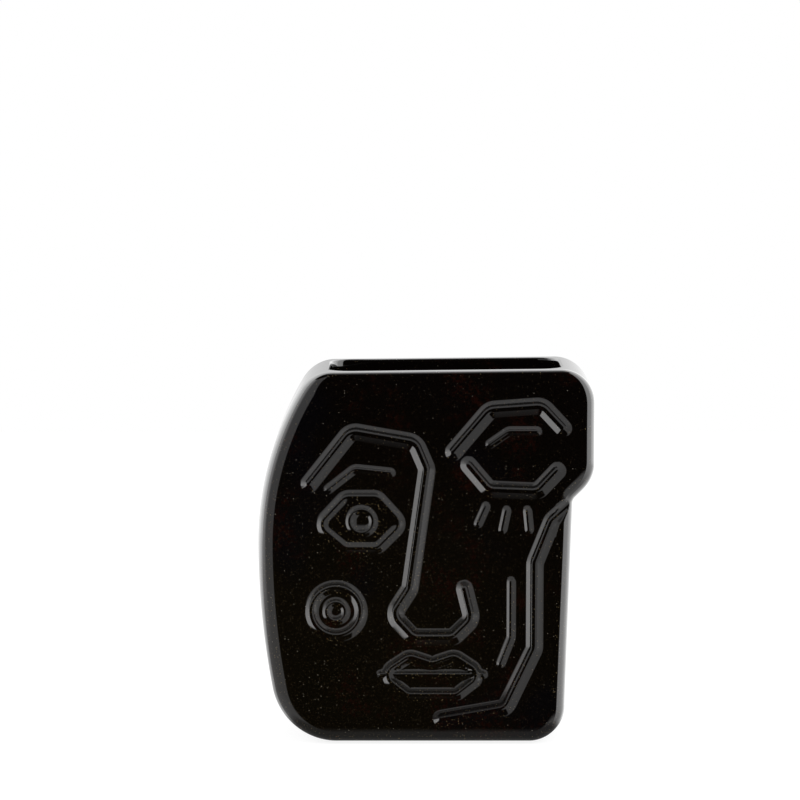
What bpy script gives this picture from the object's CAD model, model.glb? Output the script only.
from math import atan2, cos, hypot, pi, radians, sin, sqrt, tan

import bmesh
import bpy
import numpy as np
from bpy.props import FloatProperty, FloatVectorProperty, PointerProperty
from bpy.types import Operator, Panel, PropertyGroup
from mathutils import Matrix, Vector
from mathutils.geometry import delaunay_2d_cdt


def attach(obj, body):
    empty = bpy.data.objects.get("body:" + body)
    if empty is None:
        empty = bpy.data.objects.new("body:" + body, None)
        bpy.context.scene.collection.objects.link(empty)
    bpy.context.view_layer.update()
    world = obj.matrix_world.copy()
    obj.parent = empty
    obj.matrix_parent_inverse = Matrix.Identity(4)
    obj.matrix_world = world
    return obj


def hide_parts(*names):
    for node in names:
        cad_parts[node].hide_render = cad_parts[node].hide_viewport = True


bl_info = {
    "name": "Face Vase",
    "version": (1, 0, 0),
    "blender": (4, 5, 0),
    "location": "3D View > Sidebar > Face Vase",
    "description": "Glaze, clay and studio for a carved stoneware face vase",
    "category": "Object",
}

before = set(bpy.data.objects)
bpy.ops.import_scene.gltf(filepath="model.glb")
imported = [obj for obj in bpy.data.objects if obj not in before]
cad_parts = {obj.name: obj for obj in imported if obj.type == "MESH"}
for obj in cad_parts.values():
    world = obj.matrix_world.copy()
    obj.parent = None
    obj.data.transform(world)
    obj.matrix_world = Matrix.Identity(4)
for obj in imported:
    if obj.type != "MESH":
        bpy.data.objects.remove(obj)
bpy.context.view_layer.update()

# Shapes are worked out in millimetres, and meshes are made in metres
MM = 0.001

# Every piece of a vase without joints rides on the one body
BODY = "root"

# How far apart the points are along the outline's stretches, in millimetres
BASE_STEP = 2.4
SIDE_STEP = 2.6
RIM_STEP = 2.0
BOW_STEP = 2.2
CORNER_STEP = 1.1
FINE_STEP = 0.75

# How much of the side under the notch has fine points, and how far a corner turns at most between two points
NOTCH_REACH = 13.0
LEAST_TURN = radians(7)

# How many steps the slab's edges, its sides from front to back, the mouth's lip and the foot's edge have
EDGE_STEPS = 24
SIDE_COLUMNS = 8
LIP_STEPS = 8
FOOT_STEPS = 3

# How many steps each round corner, long side and short side of a rounded rectangle has
RECT_CORNER = 8
RECT_LONG = 48
RECT_SHORT = 12

# How many rings the inside has in each stretch of its height, and where they stand in the mouth's wall
LEVELS = {"floor": 6, "lower": 9, "middle": 10, "notch": 14, "lobe": 8, "roof": 12}
NECK_SHARES = (0.15, 0.5, 0.85)

# How far apart the points are on the rim and the base, on the back and between the cuts
GRID_STEP = 1.6
BACK_STEP = 6.0
FACE_STEP = 4.5

# How far apart the points are in the cuts' bends and on their runs, and the fewest in a bend and an end
BEND_STEP = 0.5
RUN_STEP = 1.3
LEAST_BEND_STEPS = 2
LEAST_END_STEPS = 4

# How many rows of points a cut's floor and lip have, how far past its lip the last row lies,
# how near two rows may be, and how near two points of different cuts may be
FLOOR_ROWS = 4
LIP_ROWS = 5
ROW_MARGIN = 0.7
LEAST_ROW = 0.08
KEEP_CLEAR = 0.28

# How far a lip reaches past its cut's own width, as a share of the lip's radius
LIP_SPREAD = 0.139

# Points nearer than this are one, and a cut through a mesh is that much finer
MERGE = 0.001
CUT_TOLERANCE = MERGE / 10

# The triangulation's mode that leaves out what lies outside the edge
INSIDE_ONLY = 1

# Edges that bend more than this stay crisp
SHARP = radians(40)

# The Mix node's colour inputs and output, which share their names with its others
COLOUR_A = 6
COLOUR_B = 7
COLOUR_MIX = 2


def length(name, description, default):
    """A size of the vase, shown to the user as a length."""
    return FloatProperty(name=name, description=description, default=default, unit="LENGTH", precision=5)


def angle(name, description, degrees):
    """An angle, given in degrees and shown to the user as an angle."""
    return FloatProperty(name=name, description=description, default=radians(degrees), subtype="ANGLE")


def level(name, description, default):
    """A brightness, where 1 is white."""
    return FloatProperty(name=name, description=description, default=default, min=0)


def share(name, description, default):
    """A share, from nothing to all."""
    return FloatProperty(name=name, description=description, default=default, min=0, max=1)


def colour(name, description, default):
    """A colour of the vase, shown to the user as a swatch."""
    return FloatVectorProperty(
        name=name, description=description, default=default, subtype="COLOR", size=3, min=0, max=1
    )


class VaseShape(PropertyGroup):
    """The vessel's own sizes."""

    width: length("Width", "From the bow to the lobe", 0.1784)
    depth: length("Depth", "From the carved front to the back", 0.066)
    rim_height: length("Rim height", "The rim's height at its left end", 0.1997)
    rim_rise: length("Rim rise", "How much higher the rim's right end is", 0.0017)
    bow_height: length("Bow height", "Where the left side stands out most", 0.1077)
    top_left_inset: length("Top left inset", "How far the bow comes in at the top", 0.0287)
    base_left_inset: length("Base left inset", "How far the bow comes in at the base", 0.0135)
    top_left_radius: length("Top left radius", "Corner at the rim's left end", 0.020)
    top_right_radius: length("Top right radius", "Corner at the top of the lobe", 0.019)
    base_left_radius: length("Base left radius", "Corner under the bow", 0.0347)
    base_right_radius: length("Base right radius", "Corner under the straight side", 0.019)
    lobe_radius: length("Lobe radius", "Corner at the foot of the lobe", 0.022)
    notch_radius: length("Notch radius", "Corner where the lobe meets the side", 0.0025)
    notch_drop: length("Notch drop", "How far the notch is under the rim", 0.0682)
    notch_inset: length("Notch inset", "How far the notch stands in", 0.0114)
    lower_inset: length("Lower inset", "How far the right side stands in at the base", 0.0159)
    lobe_angle: angle("Lobe angle", "Slope of the lobe's underside", 45)
    wall: length("Wall", "Thickness of the wall, glaze included", 0.0056)
    side_edge: length("Side edge", "Round of the edges down the sides", 0.009)
    rim_edge: length("Rim edge", "Round of the rim's outer edge", 0.0034)
    rim_inner: length("Rim inner edge", "Round of the rim's inner edge", 0.0015)
    curl_depth: length("Curl depth", "How far down that round reaches at the mouth's left end", 0.005)
    curl_reach: length("Curl reach", "How far along the mouth the deeper round fades out", 0.026)
    base_edge: length("Base edge", "Round of the edges round the base", 0.006)
    mouth_left_inset: length("Mouth left inset", "How far the mouth's left end stands in", 0.0382)
    mouth_right_inset: length("Mouth right inset", "How far the mouth's right end stands in", 0.018)
    mouth_corner: length("Mouth corner", "Corner of the mouth, seen from above", 0.012)
    foot_height: length("Foot height", "How high the bare foot lifts the vase", 0.0012)
    foot_left_inset: length("Foot left inset", "How far the foot's left end stands in", 0.0462)
    foot_right_inset: length("Foot right inset", "How far the foot's right end stands in", 0.0382)
    foot_edge_inset: length("Foot edge inset", "How far the foot stands in at the front", 0.010)
    foot_width: length("Foot width", "Width of the foot's ring", 0.005)
    foot_corner: length("Foot corner", "Corner of the foot, seen from below", 0.011)
    foot_round: length("Foot round", "Soft edge of the foot's ring", 0.0005)
    glaze: length("Glaze thickness", "Thickness of the fired coats", 0.0006)


class VaseCarving(PropertyGroup):
    """The cut lines of the face."""

    wide_width: length("Wide width", "Width of the main cuts", 0.0096)
    wide_depth: length("Wide depth", "Depth of the main cuts", 0.0029)
    wide_lip: length("Wide lip", "Soft lip of the main cuts", 0.0012)
    wide_floor: length("Wide floor", "Round of the main cuts' floor", 0.0024)
    medium_width: length("Medium width", "Width of the loops and the large ring", 0.0072)
    medium_depth: length("Medium depth", "Depth of the loops and the large ring", 0.0021)
    medium_lip: length("Medium lip", "Soft lip of the loops", 0.0011)
    medium_floor: length("Medium floor", "Round of the loops' floor", 0.0018)
    fine_width: length("Fine width", "Width of the fine lines", 0.005)
    fine_depth: length("Fine depth", "Depth of the fine lines", 0.0014)
    fine_lip: length("Fine lip", "Soft lip of the fine lines", 0.0009)
    fine_floor: length("Fine floor", "Round of the fine lines' floor", 0.0012)
    bend: length("Bend", "Radius on the inner side of each bend", 0.0016)
    iris_ring: length("Iris ring", "Radius of the ring round the iris", 0.0062)
    cheek_ring: length("Cheek ring", "Radius of the outer ring on the cheek", 0.013)
    cheek_dot: length("Cheek dot", "Radius of the inner ring on the cheek", 0.005)
    socket: length("Socket", "How far the open eye's field is sunk", 0.0013)
    iris_height: length("Iris height", "How far the iris rises from the socket", 0.001)
    iris_gap: length("Iris gap", "Flat strip between the iris and its ring", 0.0004)
    flank: angle("Flank angle", "Slope of the cuts' walls", 39)


class VaseFinish(PropertyGroup):
    """The glaze's and the clay's colours and flecks."""

    glaze_base: colour("Glaze", "The glaze's own near-black", (0.0018, 0.0012, 0.0009))
    glaze_low: colour("Low glaze", "The glaze low down, where it is browner", (0.0036, 0.0026, 0.0012))
    glaze_rust: colour("Rust", "Where the glaze breaks to a red brown", (0.010, 0.0025, 0.0014))
    glaze_blue: colour("Blue cast", "A faint cool cast in places", (0.0012, 0.0014, 0.0032))
    fleck_pale: colour("Pale fleck", "The palest flecks", (0.22, 0.20, 0.16))
    fleck_copper: colour("Copper fleck", "The warmest flecks", (0.20, 0.09, 0.03))
    fleck_dim: colour("Dim fleck", "The dimmest fine flecks", (0.034, 0.025, 0.015))
    fleck_gold: colour("Gold fleck", "The brightest fine flecks", (0.24, 0.18, 0.09))
    clay: colour("Clay", "The bare foot", (0.46, 0.34, 0.25))
    clay_shade: colour("Clay shade", "The clay's darker stretches", (0.3312, 0.2448, 0.18))
    clay_dark: colour("Clay speck", "Iron specks in the clay", (0.10, 0.055, 0.035))
    fleck_cell: length("Fleck spacing", "Usual distance between bright flecks", 0.0016)
    fleck_size: length("Fleck size", "Radius of a usual bright fleck", 0.00022)
    dust_cell: length("Dust spacing", "Usual distance between fine flecks", 0.00085)
    dust_size: length("Dust size", "Radius of a usual fine fleck", 0.00022)
    speck_cell: length("Speck spacing", "Usual distance between the clay's specks", 0.0013)
    speck_size: length("Speck size", "Radius of a usual speck in the clay", 0.00026)
    fleck_share: share("Fleck share", "How many of the bright flecks show", 0.14)
    low_fleck_share: share("Low fleck share", "How many of the bright flecks show low down", 0.28)
    dust_share: share("Dust share", "How many of the fine flecks show", 0.24)
    low_dust_share: share("Low dust share", "How many of the fine flecks show low down", 0.7)
    speck_share: share("Speck share", "How many of the clay's specks show", 0.25)
    speck_strength: share("Speck strength", "How dark the clay's specks are", 0.8)
    blue_share: share("Blue share", "How strong the blue cast is", 0.35)
    low_end: length("Low end", "Up to this height the glaze is brownest and most flecked", 0.06)
    high_start: length("High start", "From this height on it is darkest and least flecked", 0.2)
    right_part: length("Right part", "From here on to the right the low glaze is weakest", 0.06)
    right_share: share("Right share", "How much of the low glaze's look is left there", 0.5)


class VaseStudio(PropertyGroup):
    """The light and the camera."""

    camera_place: FloatVectorProperty(
        name="Camera", description="Where the camera stands", unit="LENGTH",
        default=(-0.01401, -1.5942, 0.38034), size=3,
    )
    camera_pitch: angle("Pitch", "How far the camera looks down", 7.127)
    lens: FloatProperty(name="Lens", description="Focal length in millimetres", default=135.0)
    floor_size: length("Floor", "Half the size of the floor", 1.2)
    panel_softness: angle("Panel softness", "How soft the panels' edges are", 3)
    left_start: angle("Left panel start", "Where the left panel starts, turned from the front", 15)
    left_top: angle("Left panel top", "How high the left panel reaches", 38)
    right_start: angle("Right panel start", "Where the right panel starts, turned from the front", 57)
    side_rise: angle("Side rise", "Where the left panel starts to brighten towards the back", 62)
    side_full: angle("Side full", "Where the left panel is brightest", 84)
    right_top: angle("Right panel top", "How high the right panel reaches", 60)
    right_foot: angle("Right panel foot", "Where the right panel has dimmed to its low level", -50)
    back_start: angle("Back start", "Where the bright room behind starts", 91)
    back_fade: angle("Back fade", "Where the room behind starts to dim", 132)
    left_fade: angle("Left fade", "Where the room behind starts to dim on the left", 112)
    left_low_start: angle("Left low start", "Where the room behind starts at the lower left", 108)
    left_blend: share("Left blend", "How far from the middle left and right blend", 0.3)
    above_start: angle("Light above start", "Where the light above starts", 55)
    above_full: angle("Light above full", "Where the light above is full", 92)
    low_start: angle("Low start", "How far down the room's light starts to fall off", -6)
    low_full: angle("Low full", "How far down the room's light is at its low share", -20)
    floor_start: angle("Floor start", "Where the gloss starts to see the floor", -17)
    floor_full: angle("Floor full", "Where the gloss sees the floor in full", -26)
    left_level: level("Left level", "Brightness of the left panel's near part", 0.9)
    left_full: level("Left full level", "Brightness of the left panel's far part", 3.2)
    right_level: level("Right level", "Brightness of the right panel", 4.0)
    low_share: share("Low share", "Share of the room's light that is left under the horizon", 0.4)
    right_low: level("Right low level", "Brightness of the right panel's foot", 1.2)
    back_level: level("Back level", "Brightness of the room behind, at its sides", 5.8)
    backdrop_level: level("Backdrop level", "Brightness of the room straight behind", 0.8)
    above_level: level("Above level", "Brightness of the light above", 1.5)
    floor_level: level("Floor level", "Brightness of the floor to the gloss", 1.0)
    near_level: level("Near level", "Brightness of the floor right by the vase to the gloss", 0.3)
    near_reach: length("Near reach", "How far from the vase the floor is that dark", 0.03)
    near_softness: share("Near softness", "How soft the edge of that dark floor is", 0.3)
    near_inset: length("Near inset", "How far in from the vase's sides the dark floor ends", 0.035)
    floor_shade: share("Floor shade", "How much light the floor sends back to the vase", 0.8)
    shadow_shade: share("Shadow shade", "How much of the light on the floor the camera sees", 0.25)
    shadow_glow: level("Floor glow", "The floor's own brightness to the camera", 0.87)
    ambient: level("Soft light", "Level of the light from all round", 0.75)
    lamp_power: FloatProperty(name="Lamps", description="Power of each soft lamp", default=4.0, unit="POWER")
    lamp_size: length("Lamp size", "Side of each square lamp", 0.7)


class Sizes:
    """A property group's lengths in millimetres, its angles and other values as they are."""

    def __init__(self, group):
        for name in group.__annotations__:
            value = getattr(group, name)
            keywords = type(group).__annotations__[name].keywords
            self.__dict__[name] = value / MM if keywords.get("unit") == "LENGTH" else value


def shape():
    """The vessel's sizes as they are now."""
    return Sizes(bpy.context.scene.vase_shape)


def carving():
    """The cuts' sizes as they are now."""
    return Sizes(bpy.context.scene.vase_carving)


# The drawing's points, as shares of half the width and of the rim's height
brow_nose_shares = [
    (-0.695, 0.703), (-0.448, 0.843), (-0.067, 0.813), (0.0, 0.743), (-0.101, 0.422),
    (-0.202, 0.351), (-0.078, 0.291), (0.157, 0.291), (0.269, 0.341), (0.224, 0.422),
]
eye_shares = [
    (-0.640, 0.592), (-0.482, 0.668), (-0.290, 0.668), (-0.146, 0.597), (-0.290, 0.532), (-0.482, 0.532),
]
eyelid_shares = [(-0.583, 0.688), (-0.426, 0.743), (-0.213, 0.733)]
closed_lid_shares = [(0.247, 0.753), (0.370, 0.688), (0.655, 0.683), (0.770, 0.738)]
lash_shares = [
    [(0.348, 0.643), (0.303, 0.597)],
    [(0.471, 0.632), (0.448, 0.582)],
    [(0.594, 0.632), (0.605, 0.582)],
]
right_brow_shares = [(0.157, 0.788), (0.370, 0.900), (0.680, 0.910), (0.802, 0.852)]
right_lid_shares = [(0.370, 0.808), (0.482, 0.843), (0.650, 0.843)]
jaw_shares = [(0.740, 0.605), (0.640, 0.492), (0.640, 0.261), (0.470, 0.100), (0.090, 0.070)]
fold_shares = [(0.500, 0.442), (0.500, 0.291), (0.440, 0.221)]
lips_shares = [
    (-0.269, 0.191), (-0.101, 0.241), (0.034, 0.221), (0.168, 0.241), (0.336, 0.191),
    (0.179, 0.136), (-0.112, 0.136),
]
mouth_line_shares = [(-0.269, 0.191), (0.336, 0.191)]
iris_shares = (-0.386, 0.602)
cheek_shares = (-0.538, 0.361)


# Outline


def corner_arc(corner, before, after, radius):
    """The round between two straight runs: its centre, first and last angle, and which way it turns."""
    turn = atan2(before[0] * after[1] - before[1] * after[0], before[0] * after[0] + before[1] * after[1])
    side = 1 if turn > 0 else -1
    start = np.array(corner) - np.array(before) * radius * tan(abs(turn) / 2)
    centre = start + np.array((-before[1], before[0])) * radius * side
    first = atan2(*(start - centre)[::-1])
    return centre, first, first + turn, side


def bow_radius(rise, inset):
    """The radius of an arc that starts upright and comes in by so much over a rise."""
    return (rise**2 + inset**2) / (2 * inset)


def bow_arc(line_point, line_direction, bow_centre, bow, radius):
    """The round between the bow and a straight run, on its left: its centre and where it meets both."""
    inward = np.array((-line_direction[1], line_direction[0]))
    start = np.array(line_point) + inward * radius - bow_centre
    along = float(np.dot(start, line_direction))
    reach = sqrt(along**2 - float(np.dot(start, start)) + (bow - radius) ** 2)
    centres = [start + np.array(line_direction) * (-along + way * reach) + bow_centre for way in (1, -1)]
    centre = min(centres, key=lambda c: c[0])
    on_bow = bow_centre + (centre - bow_centre) * bow / (bow - radius)
    return centre, centre - inward * radius, on_bow


class Outline:
    """The front view, run round from the base's left end: points, outward normals and edge radii."""

    def __init__(self, s):
        half = s.width / 2
        upper = bow_radius(s.rim_height - s.bow_height, s.top_left_inset)
        lower = bow_radius(s.bow_height - s.foot_height, s.base_left_inset)
        upper_centre = np.array((upper - half, s.bow_height))
        lower_centre = np.array((lower - half, s.bow_height))
        widest = np.array((-half, s.bow_height))
        notch = np.array((half - s.notch_inset, s.rim_height - s.notch_drop))
        lean = (s.lower_inset - s.notch_inset) / (notch[1] - s.foot_height)
        base_right = np.array((half - s.lower_inset, s.foot_height))
        lobe_foot = np.array((half, notch[1] + s.notch_inset * tan(s.lobe_angle)))
        top_right = np.array((half, s.rim_height + s.rim_rise))
        top_left = np.array((s.top_left_inset - half, s.rim_height))
        right_way = np.array((1.0, 0.0))
        lean_way = unit(np.array((lean, 1.0)))
        lobe_way = np.array((cos(s.lobe_angle), sin(s.lobe_angle)))
        up_way = np.array((0.0, 1.0))
        rim_way = unit(top_left - top_right)
        base_round = corner_arc(base_right, right_way, lean_way, s.base_right_radius)
        notch_round = corner_arc(notch, lean_way, lobe_way, s.notch_radius)
        lobe_round = corner_arc(lobe_foot, lobe_way, up_way, s.lobe_radius)
        top_round = corner_arc(top_right, up_way, rim_way, s.top_right_radius)
        left_top = bow_arc(top_left, rim_way, upper_centre, upper, s.top_left_radius)
        left_base = bow_arc(base_right, right_way, lower_centre, lower, s.base_left_radius)
        self.notch = notch
        self.points, self.normals, self.edges, self.spans = [], [], [], {}
        side, rim, base = s.side_edge, s.rim_edge, s.base_edge
        near_notch = notch - lean_way * NOTCH_REACH
        start, end = left_base[1], self.arc_end(base_round, s.base_right_radius, 0)
        self.run("base", start, end, BASE_STEP, base, base)
        self.turn("base_right", base_round, s.base_right_radius, CORNER_STEP, base, side)
        start = self.arc_end(base_round, s.base_right_radius, 1)
        self.run("side", start, near_notch, SIDE_STEP, side, side)
        self.run("side_top", near_notch, self.arc_end(notch_round, s.notch_radius, 0), FINE_STEP, side, side)
        self.turn("notch", notch_round, s.notch_radius, FINE_STEP / 2, side, side)
        start = self.arc_end(notch_round, s.notch_radius, 1)
        self.run("underside", start, self.arc_end(lobe_round, s.lobe_radius, 0), FINE_STEP, side, side)
        self.turn("lobe", lobe_round, s.lobe_radius, CORNER_STEP, side, side)
        start = self.arc_end(lobe_round, s.lobe_radius, 1)
        self.run("lobe_side", start, self.arc_end(top_round, s.top_right_radius, 0), SIDE_STEP, side, side)
        self.turn("top_right", top_round, s.top_right_radius, CORNER_STEP, side, rim)
        start = self.arc_end(top_round, s.top_right_radius, 1)
        self.run("rim", start, left_top[1], RIM_STEP, rim, rim)
        self.sweep("top_left", *left_top, s.top_left_radius, CORNER_STEP, rim, side)
        self.sweep("upper_bow", upper_centre, left_top[2], widest, upper, BOW_STEP, side, side)
        self.sweep("lower_bow", lower_centre, widest, left_base[2], lower, BOW_STEP, side, side)
        left = (left_base[0], left_base[2], left_base[1], s.base_left_radius)
        self.sweep("base_left", *left, CORNER_STEP, side, base)
        self.points = np.array(self.points)
        self.normals = np.array(self.normals)
        self.edges = np.array(self.edges)

    def add(self, name, points, normals, first_edge, last_edge):
        """Adds a stretch without its last point, which starts the next one."""
        count = len(points) - 1
        self.spans[name] = (len(self.points), len(self.points) + count)
        for i in range(count):
            t = i / count
            self.points.append(points[i])
            self.normals.append(normals[i])
            self.edges.append(first_edge + (last_edge - first_edge) * t * t * (3 - 2 * t))

    def run(self, name, start, end, step, first_edge, last_edge):
        """A straight stretch."""
        start, end = np.array(start), np.array(end)
        way = unit(end - start)
        count = max(1, round(hypot(*(end - start)) / step))
        points = [start + (end - start) * i / count for i in range(count + 1)]
        self.add(name, points, [np.array((way[1], -way[0]))] * (count + 1), first_edge, last_edge)

    def turn(self, name, arc, radius, step, first_edge, last_edge):
        """A round corner, hollow where its side is negative."""
        centre, first, last, side = arc
        sweep = abs(last - first)
        count = max(LEAST_BEND_STEPS, round(sweep * radius / step), round(sweep / LEAST_TURN))
        turns = [first + (last - first) * i / count for i in range(count + 1)]
        spokes = [np.array((cos(a), sin(a))) for a in turns]
        points = [centre + v * radius for v in spokes]
        self.add(name, points, [v * side for v in spokes], first_edge, last_edge)

    def sweep(self, name, centre, start, end, radius, step, first_edge, last_edge):
        """A round stretch between two points, turning left."""
        first = atan2(*(start - centre)[::-1])
        last = first + (atan2(*(end - centre)[::-1]) - first) % (2 * pi)
        self.turn(name, (centre, first, last, 1), radius, step, first_edge, last_edge)

    @staticmethod
    def arc_end(arc, radius, end):
        """Where a round starts, for end 0, or ends, for end 1."""
        turned = arc[1 + end]
        return arc[0] + np.array((cos(turned), sin(turned))) * radius

    def inset(self, amount):
        """The outline moved inwards."""
        return self.points - self.normals * np.array(amount).reshape(-1, 1)

    def top(self, skin):
        """Heights along the top: the x values, rising, and their z."""
        first, last = self.spans["top_right"][0], self.spans["top_left"][1]
        moved = self.inset(skin * np.ones(len(self.points)))[first:last][::-1]
        return moved[:, 0], moved[:, 1]

    def sides(self, amount):
        """The left and the right side moved inwards, each as heights, rising, and their x."""
        moved = self.inset(amount * np.ones(len(self.points)))
        left = moved[self.spans["top_left"][0]:][::-1]
        right = moved[self.spans["base"][1]:self.spans["rim"][0] + 1]
        return left, right


def unit(v):
    """The vector at a length of 1."""
    return v / hypot(*v)


# Mesh pieces


class Shell:
    """Points in millimetres and the faces between them."""

    def __init__(self):
        self.points = []
        self.faces = []

    def add(self, points):
        """Adds points and gives their numbers."""
        first = len(self.points)
        self.points.extend(tuple(float(c) for c in p) for p in points)
        return list(range(first, len(self.points)))

    def bridge(self, ring, other, closed=True):
        """Four-sided faces between two rows of the same length."""
        count = len(ring)
        for i in range(count if closed else count - 1):
            k = (i + 1) % count
            self.faces.append((ring[i], ring[k], other[k], other[i]))

    def fill(self, loops, flat, place, extra=()):
        """Triangles over a flat region. The first loop is its edge and the others are holes in it.
        flat gives a point's two coordinates in the region, and place turns them back into a point."""
        numbers = [n for loop in loops for n in loop]
        coords = [Vector(flat(self.points[n])) for n in numbers]
        coords += [Vector(p) for p in extra]
        edges, start = [], 0
        for loop in loops:
            edges += [(start + i, start + (i + 1) % len(loop)) for i in range(len(loop))]
            start += len(loop)
        found, _, faces, origins, _, _ = delaunay_2d_cdt(coords, edges, [], INSIDE_ONLY, MERGE)
        holes = [[flat(self.points[n]) for n in loop] for loop in loops[1:]]
        numbering = {}
        for i, source in enumerate(origins):
            known = [n for n in source if n < len(numbers)]
            numbering[i] = numbers[known[0]] if known else self.add([place(*found[i])])[0]
        middles = [sum((found[i] for i in face), Vector((0, 0))) / len(face) for face in faces]
        hidden = np.zeros(len(faces), dtype=bool)
        for hole in holes:
            hidden |= inside(middles, hole)
        self.faces.extend(tuple(numbering[i] for i in face) for face, gone in zip(faces, hidden) if not gone)

    def mesh(self, name, outward=True):
        """The mesh in metres, doubles merged, its faces turned away from the middle or towards it."""
        bm = bmesh.new()
        verts = [bm.verts.new([c * MM for c in p]) for p in self.points]
        for face in self.faces:
            corners = [verts[n] for n in dict.fromkeys(face)]
            if len(corners) > 2 and not bm.faces.get(corners):
                bm.faces.new(corners)
        bmesh.ops.remove_doubles(bm, verts=bm.verts, dist=MERGE * MM)
        loose = [v for v in bm.verts if not v.link_faces]
        bmesh.ops.delete(bm, geom=loose, context="VERTS")
        bmesh.ops.recalc_face_normals(bm, faces=bm.faces)
        middle = sum((v.co for v in bm.verts), Vector()) / len(bm.verts)
        facing = sum(f.normal.dot(f.calc_center_median() - middle) * f.calc_area() for f in bm.faces)
        if (facing > 0) != outward:
            bmesh.ops.reverse_faces(bm, faces=bm.faces)
        mesh = bpy.data.meshes.new(name)
        bm.to_mesh(mesh)
        bm.free()
        return mesh


def rounded_rectangle(left, right, half, corner):
    """A ring of points in the plane, starting on the front side, always of the same count."""
    points = []
    corners = [
        ((right - corner, -half + corner), -pi / 2),
        ((right - corner, half - corner), 0),
        ((left + corner, half - corner), pi / 2),
        ((left + corner, -half + corner), pi),
    ]
    for i, (centre, first) in enumerate(corners):
        for k in range(RECT_CORNER):
            turned = first + pi / 2 * k / RECT_CORNER
            points.append((centre[0] + corner * cos(turned), centre[1] + corner * sin(turned)))
        begin = (
            centre[0] + corner * cos(first + pi / 2),
            centre[1] + corner * sin(first + pi / 2),
        )
        following = corners[(i + 1) % len(corners)]
        end = (
            following[0][0] + corner * cos(following[1]),
            following[0][1] + corner * sin(following[1]),
        )
        count = RECT_SHORT if i % 2 == 0 else RECT_LONG
        for k in range(count):
            t = k / count
            points.append((begin[0] + (end[0] - begin[0]) * t, begin[1] + (end[1] - begin[1]) * t))
    return points


def mouth_ring(s, grow):
    """The mouth seen from above, grown outwards."""
    half = s.width / 2
    return rounded_rectangle(
        s.mouth_left_inset - half - grow, half - s.mouth_right_inset + grow,
        s.depth / 2 - s.wall + grow, s.mouth_corner + grow,
    )


def foot_ring(s, grow):
    """The foot seen from below, grown outwards."""
    half = s.width / 2
    return rounded_rectangle(
        s.foot_left_inset - half - grow, half - s.foot_right_inset + grow,
        s.depth / 2 - s.foot_edge_inset + grow, s.foot_corner + grow,
    )


def seam_offset(s):
    """How far outside the mouth the two glazes meet, in the middle of the rim's flat crest."""
    return (s.rim_inner + s.wall - s.rim_edge) / 2


def outer_surface(s, outline, skin, carve_points):
    """The outside down to the foot and up to the rim's seam, a skin's thickness inside the finished one."""
    shell = Shell()
    half = s.depth / 2
    rings = {}
    for side in (-1, 1):
        rings[side] = []
        for k in range(EDGE_STEPS + 1):
            turned = pi / 2 * k / EDGE_STEPS
            edge = outline.edges
            flat = outline.inset(edge - (edge - skin) * cos(turned))
            out = half - edge + (edge - skin) * sin(turned)
            rings[side].append(shell.add([(p[0], side * o, p[1]) for p, o in zip(flat, out)]))
        for lower, upper in zip(rings[side], rings[side][1:]):
            shell.bridge(lower, upper)
    front_y, back_y = -(half - skin), half - skin
    shell.fill([rings[-1][-1]], lambda p: (p[0], p[2]), lambda x, z: (x, front_y, z), carve_points)
    shell.fill([rings[1][-1]], lambda p: (p[0], p[2]), lambda x, z: (x, back_y, z), plain_grid(outline, s))
    columns = []
    for j in range(len(outline.points)):
        a, b = shell.points[rings[-1][0][j]], shell.points[rings[1][0][j]]
        steps = [i / SIDE_COLUMNS for i in range(1, SIDE_COLUMNS)]
        inner = shell.add([(a[0], a[1] + (b[1] - a[1]) * t, a[2]) for t in steps])
        columns.append([rings[-1][0][j], *inner, rings[1][0][j]])
    top_x, top_z = outline.top(skin)
    mouth = mouth_ring(s, seam_offset(s))
    mouth_loop = shell.add([(x, y, float(np.interp(x, top_x, top_z))) for x, y in mouth])
    rim_first = first_beyond(outline, "top_right", max(x for x, _ in mouth) + FINE_STEP)
    rim_last = first_beyond(outline, "top_left", min(x for x, _ in mouth) - FINE_STEP)
    foot = foot_ring(s, 0)
    foot_loop = shell.add([(x, y, s.foot_height + skin) for x, y in foot])
    base_first, base_last = outline.spans["base"]
    patches = [
        (rim_first, rim_last, mouth_loop, mouth, lambda x: float(np.interp(x, top_x, top_z))),
        (base_first, base_last, foot_loop, foot, lambda x: s.foot_height + skin),
    ]
    covered = set()
    for first, last, hole, ring, height in patches:
        covered.update(range(first, last))
        edge = [columns[j][0] for j in range(first, last)] + columns[last][:-1]
        edge += [columns[j][-1] for j in range(last, first, -1)] + columns[first][:0:-1]
        extra = patch_grid(s, ring, outline, first, last)
        shell.fill([edge, hole], lambda p: p[:2], lambda x, y, h=height: (x, y, h(x)), extra)
    for j in range(len(outline.points)):
        if j not in covered:
            shell.bridge(columns[j], columns[(j + 1) % len(outline.points)], closed=False)
    return shell


def first_beyond(outline, name, x):
    """The outline's point nearest to an x on a stretch."""
    first, last = outline.spans[name]
    return min(range(first, last), key=lambda j: abs(outline.points[j][0] - x))


def patch_grid(s, ring, outline, first, last):
    """Points on the outline's own columns, between a patch's edge and its hole."""
    points = []
    for j in range(first + 1, last):
        reach = s.depth / 2 - outline.edges[j] - GRID_STEP / 2
        steps = int(2 * reach / GRID_STEP)
        points += [(outline.points[j][0], y) for y in np.linspace(-reach, reach, steps + 1)]
    clear = [p for p, held in zip(points, inside(points, ring)) if not held]
    return [p for p in clear if min(hypot(p[0] - q[0], p[1] - q[1]) for q in ring) > GRID_STEP / 2]


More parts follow.
